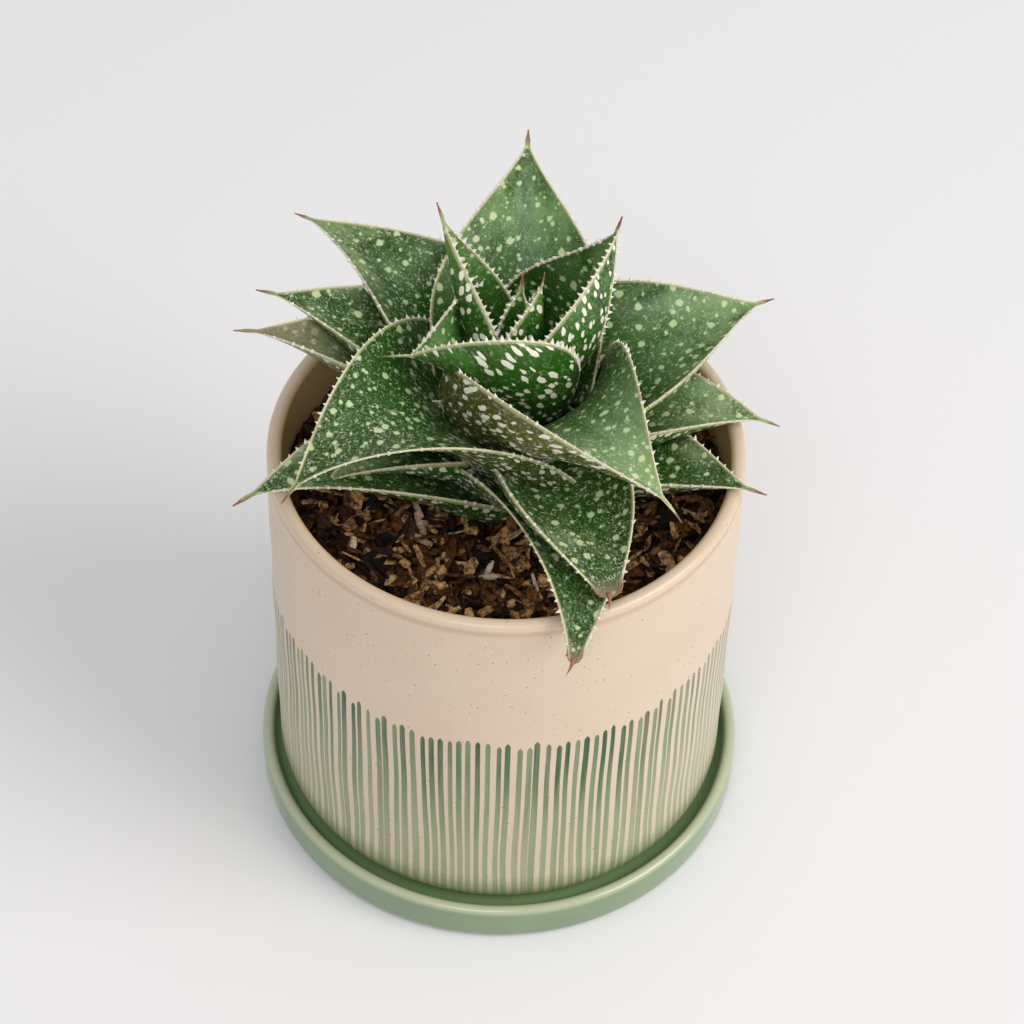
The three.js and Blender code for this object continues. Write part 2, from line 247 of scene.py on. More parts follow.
# Stoneware glaze: warm beige with iron specks, and copper-green strokes that thin as they run
def brushed_stoneware():
    material, tree, shader = start_material(
        "brushed stoneware glaze", {"IOR": 1.48, "Coat Weight": 0.12, "Coat Roughness": 0.25})
    where, x, y, height = position(tree)
    front = add(tree, "ShaderNodeMath", (y, -1.0), operation="MULTIPLY")
    angle = add(tree, "ShaderNodeMath", (x, front), operation="ARCTAN2")
    depth = add(tree, "ShaderNodeMath", (STROKE_TOP, height), operation="SUBTRACT")
    run = add(tree, "ShaderNodeMapRange", (depth, 0.0, 50 * MM), **EASED)

    # the strokes stand side by side round the pot, 2.3 mm apart, and wander a little on their way
    # down, in sways of 24 mm round the pot and 70 mm down it
    slow = add(tree, "ShaderNodeVectorMath", (where, (42.0, 42.0, 14.0)), operation="MULTIPLY")
    sway = add(tree, "ShaderNodeTexNoise", {"Vector": slow, "Scale": 1.0, "Detail": 1.0})
    sway = add(tree, "ShaderNodeMath", (sway, 0.5), operation="SUBTRACT")
    sway = add(tree, "ShaderNodeMath", (sway, 2.0), operation="MULTIPLY")
    freedom = add(tree, "ShaderNodeMath", (run, 0.12), operation="ADD")
    shift = add(tree, "ShaderNodeMath", (sway, freedom), operation="MULTIPLY")
    turns = add(tree, "ShaderNodeMath", (angle, STROKES / (2 * math.pi)), operation="MULTIPLY")
    turns = add(tree, "ShaderNodeMath", (turns, shift), operation="ADD")
    stroke = add(tree, "ShaderNodeTexVoronoi", {"W": turns, "Scale": 1.0, "Randomness": 0.34},
                 voronoi_dimensions="1D")
    tint = add(tree, "ShaderNodeSeparateColor", {0: stroke.outputs["Color"]}).outputs

    # each begins at a height of its own, along a line that tilts slightly
    tilt = add(tree, "ShaderNodeMath", (angle, 0.6), operation="ADD")
    tilt = add(tree, "ShaderNodeMath", (tilt,), operation="SINE")
    tilt = add(tree, "ShaderNodeMath", (tilt, 1.3 * MM), operation="MULTIPLY")
    uneven = add(tree, "ShaderNodeMath", (tint[0], 2.4 * MM), operation="MULTIPLY")
    start = add(tree, "ShaderNodeMath", (tilt, uneven), operation="ADD")
    below = add(tree, "ShaderNodeMath", (depth, start), operation="SUBTRACT")

    # the round end of a stroke: its half-width grows as the square root over the first millimetre
    head = add(tree, "ShaderNodeMath", (below, 1.1 * MM), operation="DIVIDE", use_clamp=True)
    head = add(tree, "ShaderNodeMath", (head, 0.5), operation="POWER")
    broad = add(tree, "ShaderNodeMath", (tint[1], 0.1, 0.22), operation="MULTIPLY_ADD")
    swell = add(tree, "ShaderNodeMath", (run, 0.05), operation="MULTIPLY")
    broad = add(tree, "ShaderNodeMath", (broad, swell), operation="ADD")
    reach = add(tree, "ShaderNodeMath", (head, broad), operation="MULTIPLY")
    off = add(tree, "ShaderNodeMath", (stroke.outputs["Distance"], reach), operation="SUBTRACT")
    covered = add(tree, "ShaderNodeMapRange", (off, 0.03, -0.03), **EASED)
    begun = add(tree, "ShaderNodeMath", (below, 0.0), operation="GREATER_THAN")
    covered = add(tree, "ShaderNodeMath", (covered, begun), operation="MULTIPLY")

    # the paint thins from stroke to stroke, downward, and in brush streaks 1 mm wide and 17 mm long,
    # and is painted fainter toward both sides of the pot as it faces the camera
    strength = add(tree, "ShaderNodeMath", (tint[2], -0.2, 1.0), operation="MULTIPLY_ADD")
    facing = add(tree, "ShaderNodeMath", (angle,), operation="COSINE")
    sides = add(tree, "ShaderNodeMapRange", (facing, 0.2, 0.9, 0.66, 1.0), **EASED)
    spent = add(tree, "ShaderNodeMapRange", (below, 6 * MM, 50 * MM, 1.0, 0.66), **EASED)
    fine = add(tree, "ShaderNodeVectorMath", (where, (900.0, 900.0, 60.0)), operation="MULTIPLY")
    streak = add(tree, "ShaderNodeTexNoise", {"Vector": fine, "Scale": 1.0})
    streak = add(tree, "ShaderNodeMapRange", (streak, 0.25, 0.75, 0.88, 1.1), **EASED)
    strength = add(tree, "ShaderNodeMath", (strength, sides), operation="MULTIPLY")
    strength = add(tree, "ShaderNodeMath", (strength, spent), operation="MULTIPLY")
    strength = add(tree, "ShaderNodeMath", (strength, streak), operation="MULTIPLY", use_clamp=True)
    heavy = add(tree, "ShaderNodeMapRange", (tint[2], 0.3, 1.0), **EASED)
    lower = add(tree, "ShaderNodeMapRange", (below, 0.0, 42 * MM), **EASED)
    green = coated(tree, "#184a1e", (heavy, "#4c7644"), (lower, "#5a7c48"))

    # the glaze: clouds of 22 mm, grains of 0.7 mm, a tinge of washed-off paint that is greener at
    # the foot, and iron specks, drawn half a millimetre wide so that they show
    drift = add(tree, "ShaderNodeTexNoise", {"Vector": where, "Scale": 45.0, "Detail": 3.0})
    washed = add(tree, "ShaderNodeMapRange", (below, 4 * MM, 55 * MM), **EASED)
    mottle = add(tree, "ShaderNodeTexNoise", {"Vector": where, "Scale": 1500.0, "Roughness": 0.6})
    mottle = add(tree, "ShaderNodeMapRange", (mottle, 0.5, 0.75), **EASED)
    # a green-brown band at the foot: partly glaze, partly painted reflection of the saucer and painted
    # shade
    foot_reflection_and_shade = add(
        tree, "ShaderNodeMapRange", (height, POT_BASE + 13 * MM, POT_BASE + 3 * MM), **EASED)
    specks = add(tree, "ShaderNodeTexVoronoi", {"Vector": where, "Scale": 640.0})
    draw = add(tree, "ShaderNodeSeparateColor", {0: specks.outputs["Color"]}).outputs
    dot = add(tree, "ShaderNodeMapRange", (specks.outputs["Distance"], 0.2, 0.1), **EASED)
    chosen = add(tree, "ShaderNodeMapRange", (draw[0], 0.78, 0.86), **EASED)
    fleck = add(tree, "ShaderNodeMath", (dot, chosen), operation="MULTIPLY")

    # the top of the lip is paler; a darker ring below it is painted shade under the rounded lip, and
    # the inner wall is painted warmer and lighter, as painted light bouncing round inside the pot
    lip_top = add(
        tree, "ShaderNodeMapRange", (height, RIM_HEIGHT - 1.5 * MM, RIM_HEIGHT - 0.4 * MM), **EASED)
    above_shade_under_lip = add(
        tree, "ShaderNodeMapRange", (height, RIM_HEIGHT - 1.2 * MM, RIM_HEIGHT - 2.2 * MM), **EASED)
    shade_under_lip = add(
        tree, "ShaderNodeMapRange", (height, RIM_HEIGHT - 4.0 * MM, RIM_HEIGHT - 2.6 * MM), **EASED)
    shade_under_lip = add(tree, "ShaderNodeMath", (shade_under_lip, above_shade_under_lip), operation="MULTIPLY")
    inner_face = POT_RADIUS - POT_WALL
    x_squared = add(tree, "ShaderNodeMath", (x, x), operation="MULTIPLY")
    y_squared = add(tree, "ShaderNodeMath", (y, y), operation="MULTIPLY")
    squared = add(tree, "ShaderNodeMath", (x_squared, y_squared), operation="ADD")
    # painted bounce light: the inner wall is coloured lighter and warmer than the outside
    inner_range = ((inner_face + 0.9 * MM) ** 2, (inner_face + 0.2 * MM) ** 2)
    bounce_light_inside = add(tree, "ShaderNodeMapRange", (squared, *inner_range), **EASED)

    painted = coated(
        tree, "#d6c0a6", (drift, "#dfccb5"), (washed, "#b9b898", 0.42), (mottle, "#a98a68", 0.16),
        (foot_reflection_and_shade, "#64764b", 0.7), (covered, green, strength), (fleck, "#8a5f38", 0.7),
        (lip_top, "#dcc2a6", 0.4), (shade_under_lip, "#b58f6a", 0.4), (bounce_light_inside, "#e6c48c", 0.85))
    gloss = add(tree, "ShaderNodeMapRange", (lip_top, 0.0, 1.0, 0.38, 0.24), **EASED)
    feed(tree, shader, {"Base Color": painted, "Roughness": gloss})
    return material


def pot_profile():
    inside = POT_RADIUS - POT_WALL
    lip_centre = RIM_HEIGHT - LIP_ROUND
    wall_heights = [POT_BASE + (RIM_HEIGHT - POT_BASE) * i / 24 for i in range(3, 23)]
    return [
        (DRAIN_RADIUS, POT_BASE), (POT_FOOT, POT_BASE),
        (POT_FOOT + 1.5 * MM, POT_BASE + 0.8 * MM), (POT_FOOT + 2.7 * MM, POT_BASE + 2.0 * MM),
        (POT_FOOT + 3.8 * MM, POT_BASE + 4.0 * MM), (POT_RADIUS - 0.1 * MM, POT_BASE + 6.4 * MM),
        *[(POT_RADIUS, z) for z in wall_heights],
        *arc(POT_RADIUS - LIP_ROUND, lip_centre, LIP_ROUND, 0, 90, 8),
        *arc(inside + LIP_ROUND, lip_centre, LIP_ROUND, 90, 180, 8),
        *[(inside, z) for z in reversed(wall_heights[1:-1])],
        (inside, POT_BASE + 9 * MM), (inside - 1.2 * MM, POT_BASE + 6.2 * MM),
        (inside - 4 * MM, POT_FLOOR), (DRAIN_RADIUS, POT_FLOOR), (DRAIN_RADIUS, POT_BASE),
    ]


def thrown(angle, radius, height):
    """The slight unevenness of a hand-thrown wall."""
    if radius < WALL_FROM:
        return 0.0
    return THROWN_WAVE * math.sin(height / THROWN_PITCH + math.sin(angle)) - THROWN_WAVE


pot = lathe("pot", pot_profile(), 288, brushed_stoneware(), thrown)
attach(pot, "root")
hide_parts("pot")

# Soil
# Coarse orchid bark, filled to 14 mm below the lip: a broken bed, painted almost black as the shade in
# the gaps, with splinters and flakes of bark lying on it in every direction, a few of them pale.
soil_low, soil_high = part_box("soil")
SOIL_RADIUS = soil_high[0]
SOIL_TOP = 98 * MM
SOIL_BEVEL = 5 * MM
BED_DEPTH = 0.6 * MM
BED_LUMPS = 0.55 * MM
STREWN_RADIUS = SOIL_RADIUS - 2.6 * MM
CHIP_SPACING = 1.25 * MM
CHIPS_PER_SQUARE_METRE = 300000.0
CHIP_LIFT = 0.1 * MM
CHIP_SIDES = 5

# Length, width and thickness of the kinds of chip, in mm
CHIP_SIZES = [(7.5, 2.4, 0.9), (5.6, 3.2, 1.0), (4.4, 3.4, 1.4),
              (9.0, 1.8, 0.8), (3.4, 2.2, 1.6), (6.4, 1.4, 1.0)]

random_draw = np.random.default_rng(7)


# Bark: fox-brown on the broken faces, and on the bed painted almost black as the shade in the gaps
def bark(name, dark, light, pale):
    material, tree, shader = start_material(name, {"Roughness": 0.6, "IOR": 1.3})

    # fibres of 1 mm over lumps of 5.5 mm, each chip or point of the bed in a tone of its own
    where = add(tree, "ShaderNodeTexCoord").outputs["Object"]
    tone = add(tree, "ShaderNodeAttribute", attribute_name="tone").outputs["Fac"]
    fibre = add(tree, "ShaderNodeTexNoise", {
        "Vector": where, "Scale": 900.0, "Detail": 4.0, "Roughness": 0.7})
    lump = add(tree, "ShaderNodeTexNoise", {"Vector": where, "Scale": 180.0, "Detail": 3.0})
    foxed = add(tree, "ShaderNodeMapRange", (tone, 0.5, 0.8), **EASED)
    ridges = add(tree, "ShaderNodeMapRange", (fibre, 0.3, 0.7), **EASED)
    dried = add(tree, "ShaderNodeMapRange", (tone, 0.12, 0.64), **EASED)
    bleached = add(tree, "ShaderNodeMapRange", (tone, 0.9, 1.0), **EASED)
    russet = add(tree, "ShaderNodeMix", {0: foxed, 6: "#8c5a2c", 7: light}, **COLOURS)
    broken_face = add(tree, "ShaderNodeMix", {0: ridges, 6: dark, 7: russet}, **COLOURS)
    body = coated(tree, dark, (dried, broken_face), (bleached, pale, lump))
    bump = add(tree, "ShaderNodeBump", {"Height": fibre, "Strength": 0.5, "Distance": 0.4 * MM})
    feed(tree, shader, {"Base Color": body, "Normal": bump})
    return material


bark_chip = bark("bark chips", "#120803", "#e0ae72", "#e6dcc8")
# painted shade: the bed under the chips is fine bark drawn almost black for the gaps
gap_shade_bark = bark("damp fine bark", "#060301", "#2a190c", "#6a4f30")


def mark(made, name, values, kind="FLOAT"):
    """Stores a number, or a vector, at each point of an object's mesh."""
    stored = made.data.attributes.new(name, kind, "POINT").data
    stored.foreach_set("value" if kind == "FLOAT" else "vector", np.ravel(values).astype(np.float32))


def soil_bed():
    """The bed that the chips lie on: a closed plug with a lumpy top."""
    rings = 40
    steps = 160
    points = [(0.0, 0.0, SOIL_TOP)]
    for ring in range(1, rings + 1):
        radius = SOIL_RADIUS * ring / rings
        for step in range(steps):
            angle = 2 * math.pi * step / steps
            height = SOIL_TOP - BED_DEPTH + random_draw.normal(0.0, BED_LUMPS)
            points.append((radius * math.cos(angle), radius * math.sin(angle), height))
    bottom = soil_low[2]
    for radius, height in ((SOIL_RADIUS, bottom + SOIL_BEVEL), (SOIL_RADIUS - SOIL_BEVEL, bottom)):
        for step in range(steps):
            angle = 2 * math.pi * step / steps
            points.append((radius * math.cos(angle), radius * math.sin(angle), height))
    points.append((0.0, 0.0, bottom))
    faces = []
    for step in range(steps):
        after = (step + 1) % steps
        faces.append((0, 1 + step, 1 + after))
        for ring in range(rings + 1):
            inner = 1 + ring * steps
            outer = inner + steps
            faces.append((inner + step, outer + step, outer + after, inner + after))
        last = 1 + (rings + 1) * steps
        faces.append((last + step, len(points) - 1, last + after))
    made = mesh_object("soil_bed", points, faces, gap_shade_bark)
    mark(made, "tone", random_draw.random(len(points)).astype(np.float32) * 0.8)
    return made


def chip_shape(name, length, width, height):
    """One splinter or flake: a rough bar with broken ends."""
    points = []
    stations = 5
    for i in range(stations):
        along = length * (i / (stations - 1) - 0.5)
        taper = 0.35 + 0.65 * math.sin(math.pi * (i + 0.6) / (stations + 0.2))
        for k in range(CHIP_SIDES):
            angle = 2 * math.pi * k / CHIP_SIDES
            rough = taper * random_draw.uniform(0.7, 1.25)
            points.append((along + random_draw.normal(0, length * 0.04),
                           width / 2 * rough * math.cos(angle), height / 2 * rough * math.sin(angle)))
    faces = []
    for i in range(stations - 1):
        here = i * CHIP_SIDES
        for k in range(CHIP_SIDES):
            after = (k + 1) % CHIP_SIDES
            faces.append((here + CHIP_SIDES + k, here + CHIP_SIDES + after, here + after, here + k))
    faces.append(tuple(range(CHIP_SIDES)))
    faces.append(tuple(range(stations * CHIP_SIDES - 1, (stations - 1) * CHIP_SIDES - 1, -1)))
    mesh = bpy.data.meshes.new(name)
    mesh.from_pydata(points, [], faces)
    return bpy.data.objects.new(name, mesh)


def group_input(tree, name, kind, default=None):
    """A named input of a geometry tree; its identifier is used to set the modifier."""
    socket = tree.interface.new_socket(name=name, in_out="INPUT", socket_type=kind)
    if default is not None:
        socket.default_value = default
    return socket.identifier


def start_tree(name):
    tree = bpy.data.node_groups.new(name, "GeometryNodeTree")
    tree.interface.new_socket(name="Geometry", in_out="OUTPUT", socket_type="NodeSocketGeometry")
    group_input(tree, "Geometry", "NodeSocketGeometry")
    return tree


def baked(source, tree, values, name):
    """The tree's result on the source, as a plain mesh object; the source is taken away."""
    modifier = source.modifiers.new("build", "NODES")
    modifier.node_group = tree
    for identifier, value in values.items():
        modifier[identifier] = value
    graph = bpy.context.evaluated_depsgraph_get()
    mesh = bpy.data.meshes.new_from_object(source.evaluated_get(graph))
    mesh.name = name
    made = bpy.data.objects.new(name, mesh)
    bpy.context.scene.collection.objects.link(made)
    bpy.data.objects.remove(source)
    return made


def scatter_tree(shapes, material):
    """Chips strewn over a surface, flat-ish, turned every way and sized at random."""
    tree = start_tree("strewn bark")
    ids = {
        "spacing": group_input(tree, "Spacing", "NodeSocketFloat", 0.002),
        "density": group_input(tree, "Density", "NodeSocketFloat", 100000.0),
        "lift": group_input(tree, "Lift", "NodeSocketFloat", 0.0),
        "seed": group_input(tree, "Seed", "NodeSocketInt", 3),
    }
    start = add(tree, "NodeGroupInput").outputs
    spread = add(tree, "GeometryNodeDistributePointsOnFaces", {
        "Mesh": start["Geometry"], "Distance Min": start["Spacing"], "Density Max": start["Density"],
        "Seed": start["Seed"]}, distribute_method="POISSON")
    pool = add(tree, "GeometryNodeCollectionInfo", {
        "Collection": shapes, "Separate Children": True, "Reset Children": True})
    turn = add(tree, "FunctionNodeRandomValue", {
        0: (-1.0, -0.7, 0.0), 1: (1.0, 0.7, 6.283), "Seed": 11}, data_type="FLOAT_VECTOR")
    size = add(tree, "FunctionNodeRandomValue", {2: 0.45, 3: 1.15, "Seed": 12}, data_type="FLOAT")
    placed = add(tree, "GeometryNodeInstanceOnPoints", {
        "Points": spread, "Instance": pool, "Pick Instance": True, "Rotation": turn, "Scale": size})
    height = add(tree, "FunctionNodeRandomValue", {2: 0.0, 3: 1.6 * MM, "Seed": 13}, data_type="FLOAT")
    height = add(tree, "ShaderNodeMath", (height, start["Lift"]), operation="ADD")
    upward = add(tree, "ShaderNodeCombineXYZ", {"Z": height})
    raised = add(tree, "GeometryNodeTranslateInstances", {
        "Instances": placed, "Translation": upward, "Local Space": False})
    tone = add(tree, "FunctionNodeRandomValue", {2: 0.0, 3: 1.0, "Seed": 14}, data_type="FLOAT")
    toned = add(tree, "GeometryNodeStoreNamedAttribute", {
        "Geometry": raised, "Name": "tone", "Value": tone}, data_type="FLOAT", domain="INSTANCE")
    real = add(tree, "GeometryNodeRealizeInstances", {"Geometry": toned})
    done = add(tree, "GeometryNodeSetMaterial", {"Geometry": real, "Material": material})
    add(tree, "NodeGroupOutput", {"Geometry": done})
    return tree, ids


def strewn_disc():
    """The round patch over which chips are strewn; it keeps their ends inside the pot."""
    steps = 48
    angles = [2 * math.pi * i / steps for i in range(steps)]
    points = [(STREWN_RADIUS * math.cos(a), STREWN_RADIUS * math.sin(a), SOIL_TOP) for a in angles]
    return mesh_object("strewn_patch", points, [tuple(range(steps))])


bed = soil_bed()
chips = bpy.data.collections.new("chip shapes")
for index, sizes in enumerate(CHIP_SIZES):
    chips.objects.link(chip_shape(f"chip {index}", *(size * MM for size in sizes)))
strewn, strewn_ids = scatter_tree(chips, bark_chip)
bark_layer = baked(strewn_disc(), strewn, {
    strewn_ids["spacing"]: CHIP_SPACING, strewn_ids["density"]: CHIPS_PER_SQUARE_METRE,
    strewn_ids["lift"]: CHIP_LIFT, strewn_ids["seed"]: 5}, "bark_chips")
for shape in list(chips.objects):
    bpy.data.objects.remove(shape)
for piece in (bed, bark_layer):
    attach(piece, "root")
    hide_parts("soil")

# Stem
# A short stout stem, all but hidden, ringed with the scars and papery remains of old leaves. It
# stands in the bark, and every leaf is seated on it.

# Radii and heights in mm, and the ripple of the scars, 3 mm apart, in radians to a metre
CENTRE = Vector((1.0, 8.0, 0.0))
STEM_PROFILE = [(0, 84), (7.5, 84), (9.2, 98), (9.2, 112), (5.5, 119), (4.6, 126), (3.2, 130.5),
                (0, 131.5)]
SCAR_RATE = 2100.0


# Old stem: corky olive-brown, rings of leaf scars
def corky_stem():
    material, tree, shader = start_material("corky stem", {"Roughness": 0.75})
    height = position(tree)[3]
    ring = add(tree, "ShaderNodeMath", (height, SCAR_RATE), operation="MULTIPLY")
    ring = add(tree, "ShaderNodeMath", (ring,), operation="SINE")
    ring = add(tree, "ShaderNodeMapRange", (ring, -0.4, 0.8), **EASED)
    body = add(tree, "ShaderNodeMix", {0: ring, 6: "#5b4a2d", 7: "#6d7546"}, **COLOURS)
    feed(tree, shader, {"Base Color": body})
    return material


stem = lathe("stem", [(r * MM, z * MM) for r, z in STEM_PROFILE], 48, corky_stem())
stem.data.transform(Matrix.Translation(CENTRE * MM))
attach(stem, "root")
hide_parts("stem")

# Leaves
# Each leaf is a thick channelled blade, keeled below, drawn out to a point that ends in a brown
# spine. Both its edges are horny and toothed. The leaves of the back and sides are pressed down
# where they would come up through a leaf that lies over them.

# The rows run from the heart outwards, in mm and degrees. Heading and turn are the leaf's compass
# direction at the seat and its swing by the tip; rise and droop are its slope and how that falls;
# roll and twist tip it about its midrib. Seat is the distance from the stem's axis and the height;
# cup is the curl of each half at the seat and at the tip, and lean curls one half more. Full is
# where it is widest, from the tip; waist narrows it toward the seat; blunt cuts its end off, and
# spine is the length of the bare tip. Young brightens it, olive tans its outer face, dry browns its
# end, and bloom is how grey-green its upper face is.
LEAVES = [
    dict(heading=75, rise=72, droop=10, length=20, width=9, seat=(1, 133), thick=2.5, young=1.0),
    dict(heading=42, rise=70, droop=10, length=24, width=16, seat=(2, 130), thick=2.5, roll=-60,
         young=1.0),
    dict(heading=138, rise=60, droop=8, length=44, width=20, seat=(4.5, 124), cup=(95, 80), thick=3,
         roll=16, lean=0.3, young=0.85, keeled=1),
    dict(heading=30, turn=20, rise=60, droop=10, length=44, width=43, seat=(9.5, 121), cup=(95, 88),
         thick=3, roll=-22, young=0.85, keeled=1),
    dict(heading=225, turn=-62, rise=84, droop=-111, length=42, width=49, seat=(4.5, 118),
         cup=(110, 85), thick=4, roll=5, twist=28, full=0.6, waist=0.2, spine=7, young=0.9),
    dict(heading=290, turn=49, rise=81, droop=-138, length=71, width=57, seat=(9, 106), cup=(110, 40),
         roll=-3, lean=-0.28, spine=6, young=0.2, olive=0.9, bloom=0.85),
    dict(heading=88, rise=40, droop=6, length=63, width=44, seat=(6, 111), cup=(70, 15), full=0.7,
         spine=2.4, young=0.55),
    dict(heading=222, rise=76, droop=-118, length=77, width=66, seat=(9, 103), cup=(60, 20),
         roll=-9, twist=9, full=1, waist=0.1, olive=0.5, bloom=0.1),
    dict(heading=134, turn=26, rise=44, droop=-40, length=63, width=50, seat=(9, 112), cup=(80, 15),
         roll=4, twist=4, full=1, spine=2.4, bloom=0.45),
    dict(heading=22, rise=38, droop=-36, length=62, width=46, seat=(8, 106), roll=6, full=0.7, young=0.3,
         bloom=0.7),
    dict(heading=294, turn=-7, rise=32, droop=-50, length=57, width=31.5, seat=(8, 107.5), full=0.6,
         blunt=0.12, bloom=0.2, dry=0.6),
    dict(heading=166, rise=46, droop=-48, length=59, width=32, seat=(9, 112), bloom=0.35),
    dict(heading=2, turn=-6, rise=36, droop=-60, length=56, width=34, seat=(9, 103), bloom=0.7),
    dict(heading=210, rise=40, droop=-60, length=46, width=30, seat=(9, 103), full=1),
    dict(heading=176, rise=44, droop=-50, length=61, width=28, seat=(9, 111), dry=1.0),
    dict(heading=206, rise=45, droop=-68, length=66, width=40, seat=(9, 96), roll=-20, full=1),
    dict(heading=296, turn=-36, rise=40, droop=-70, length=70, width=53, seat=(9, 99), cup=(60, 20),
         roll=-5, full=1.3, blunt=0.1, bloom=0.2, dry=0.5),
    dict(heading=338, rise=24, droop=-26, length=55, width=31, seat=(9, 102), bloom=0.15),
    dict(heading=114, rise=30, droop=-22, length=48, width=30, seat=(9, 101)),
    dict(heading=62, rise=16, droop=-12, length=34, width=26, seat=(9, 100)),
    dict(heading=88, rise=36, droop=-26, length=56, width=30, seat=(9, 101)),
    dict(heading=328, rise=15, droop=-20, length=26, width=18, seat=(9, 100)),
]
LEAF_DEFAULTS = dict(turn=0, roll=0, twist=0, lean=0, cup=(80, 35), full=0.75, waist=0, blunt=0,
                     thick=6, spine=3.2, young=0.0, olive=0.0, bloom=0.5, dry=0.0, keeled=0)
BEND = 1.3
FLATTEST = 1e-3
FEWEST_ROWS = 50
ROWS_PER_MM = 1.35
HALF_COLUMNS = 13
KEEL_AT = -0.25
KEEL_HEIGHT = 1.6
KEEL_HALF = 0.3
OFF_KEEL = 99
SPINE_POINT = 0.08
SPINE_HALF = 0.45
BLUNT_ROUND = 3.0
BLUNT_GREEN = 2.2

# The leaves that are pressed down, and how, in mm. A leaf over them is looked for as far as the
# reach, and counts where it stands less than so far aside. The gap is left between the two, and
# near the seat a leaf stays free.
TUCKED = (9, 10, 12, 13, 15, 18, 19, 20, 21, 22)
TUCK_REACH = 7.0
TUCK_ASIDE = 0.8
TUCK_GAP = 0.4
TUCK_FREE = 7.0
TUCK_FADE = 5.0

# All faces lie apart on one sheet, on which the patterns of the skin are drawn, in mm
SHEET_WIDTH = 97.0
SHEET_LENGTH = 131.0

# The horny margin, in mm, and the thorns of the two blunt leaves
HEART_MARGIN = {"bead": 0.27, "pitch": 1.7, "length": 1.3}
OUTER_MARGIN = {"bead": 0.24, "pitch": 2.4, "length": 1.0}
FULL_MARGIN = 2.2
KEEL_BARE = 0.35
THORN_LENGTH = 4.0 * MM
THORN_RADIUS = 0.65 * MM
THORN_ROOT = 1.4 * MM


def midrib(leaf, rows):
    """The leaf's midrib and its frame, walked in small steps and read at each row."""
    steps = 600
    t = np.linspace(0, 1, steps)
    share = t ** BEND
    azimuth = np.radians(leaf["heading"] + leaf["turn"] * share)
    slope = np.radians(leaf["rise"] + leaf["droop"] * share)
    level = np.cos(slope)
    along = np.stack([level * np.cos(azimuth), level * np.sin(azimuth), np.sin(slope)], 1)
    stride = (along[1:] + along[:-1]) / 2 * leaf["length"] / (steps - 1)
    heading = math.radians(leaf["heading"])
    seat = np.array([CENTRE.x + leaf["seat"][0] * math.cos(heading),
                     CENTRE.y + leaf["seat"][0] * math.sin(heading), leaf["seat"][1]])
    point = seat + np.vstack([np.zeros(3), np.cumsum(stride, 0)])
    aside = np.stack([-np.sin(azimuth), np.cos(azimuth), 0 * azimuth], 1)
    upright = np.cross(along, aside)
    roll = np.radians(leaf["roll"] + leaf["twist"] * share)[:, None]
    side = aside * np.cos(roll) + upright * np.sin(roll)
    normal = upright * np.cos(roll) - aside * np.sin(roll)
    pick = np.linspace(0, steps - 1, rows).round().astype(int)
    return t[pick], point[pick], along[pick], side[pick], normal[pick]


def half_width(leaf, t):
    to_tip = (1 - t) * leaf["length"]
    spine = leaf["spine"]
    pointed = np.clip((to_tip - spine) / (leaf["length"] - spine), 0, 1)
    x = leaf["blunt"] + (1 - leaf["blunt"]) * pointed
    narrowed = 1 - leaf["waist"] * np.clip(2 * x - 1, 0, 1) ** 1.5
    blade = leaf["width"] / 2 * np.sin(np.pi / 2 * np.minimum(x / leaf["full"], 1)) ** 1.3 * narrowed
    if leaf["blunt"]:
        blade = blade * np.sqrt(1 - (1 - np.minimum(to_tip / BLUNT_ROUND, 1)) ** 2)
    thorn = SPINE_POINT + SPINE_HALF * np.minimum(to_tip / spine, 1) ** 1.2
    return np.maximum(blade, thorn)


def waviness(leaf_number, a, b):
    """A slow, repeatable unevenness of the blade, in mm, at a across and b along."""
    phase = 1.7 * leaf_number
    return (0.16 * np.sin(a / 2.9 + phase) * np.sin(b / 8.5 + 2 * phase)
            + 0.1 * np.sin(b / 4.1 + a / 6.0 + 3 * phase))


def leaf_points(leaf, number, rows):
    """Upper and lower points of the blade and what the finish needs to know at each."""
    t, point, along, side, normal = midrib(leaf, rows)
    half = half_width(leaf, t)
    u = np.sin(np.pi / 2 * np.linspace(-1, 1, 2 * HALF_COLUMNS + 1))
    curl0, curl1 = leaf["cup"]
    curl = np.radians(curl0 + (curl1 - curl0) * t ** 0.7)[:, None]
    curl = np.maximum(curl * (1 + leaf["lean"] * np.sign(u))[None], FLATTEST)
    angle = curl * u[None]
    share = (half / (leaf["width"] / 2))[:, None]
    w = half[:, None]
    body = leaf["thick"] * np.minimum(1, share) * (1 - 0.35 * t[:, None]) * (1 - u[None] ** 2) ** 0.8
    keel = KEEL_HEIGHT * share * np.clip(1 - np.abs(u - KEEL_AT) / KEEL_HALF, 0, 1)[None]
    keel = keel * np.minimum(1, 3 * t)[:, None]
    deep = np.minimum(0.5 * np.minimum(1, 0.3 + share) + body + keel, 1.6 * w)
    out = -np.sin(angle)[..., None] * side[:, None] + np.cos(angle)[..., None] * normal[:, None]
    upper = (point[:, None] + (np.sin(angle) / curl * w)[..., None] * side[:, None]
             + ((1 - np.cos(angle)) / curl * w)[..., None] * normal[:, None])
    a = u[None] * w
    b = (t * leaf["length"])[:, None] + 0 * a
    wave = waviness(number, a, b) * np.minimum(1, share) * np.minimum(1, (1 - t[:, None]) * 6)
    upper = upper + (wave * (1 - u[None] ** 4))[..., None] * out
    lower = upper - deep[..., None] * out
    edge_out = np.cos(angle)[..., None] * side[:, None] + np.sin(angle)[..., None] * normal[:, None]
    return dict(t=t, u=u, half=half, upper=upper, lower=lower, out=out, edge_out=edge_out, a=a, b=b,
                along=along)


